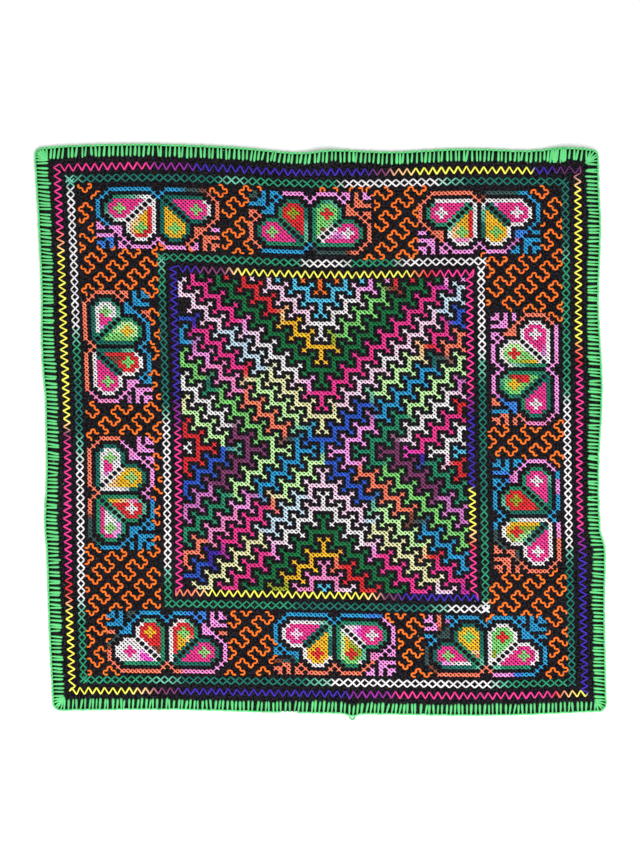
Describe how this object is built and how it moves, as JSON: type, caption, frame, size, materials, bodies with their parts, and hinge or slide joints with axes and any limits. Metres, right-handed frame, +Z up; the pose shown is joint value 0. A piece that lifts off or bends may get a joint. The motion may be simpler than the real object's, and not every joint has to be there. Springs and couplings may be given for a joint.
{
  "type": "square embroidered cotton cloth",
  "caption": "Square black cotton cloth with cross stitch frets, leaf motifs and zigzag borders, edged all round in green yarn.",
  "frame": {"origin": "on the surface that the cloth lies on, under the middle of its outline", "axes": "+Z up out of the embroidered face; +Y towards the cloth's top edge; +X to its right"},
  "size_m": [0.4006, 0.4004, 0.0039],
  "materials": {
    "black_cotton": "plain woven black cotton, matte",
    "green_yarn": "soft spun yarn, light green, matte",
    "embroidery_thread": "twisted cotton thread in many bright colours, slight sheen"
  },
  "bodies": {
    "root": {"cloth": "black_cotton", "edging": "green_yarn"}
  },
  "joints": []
}
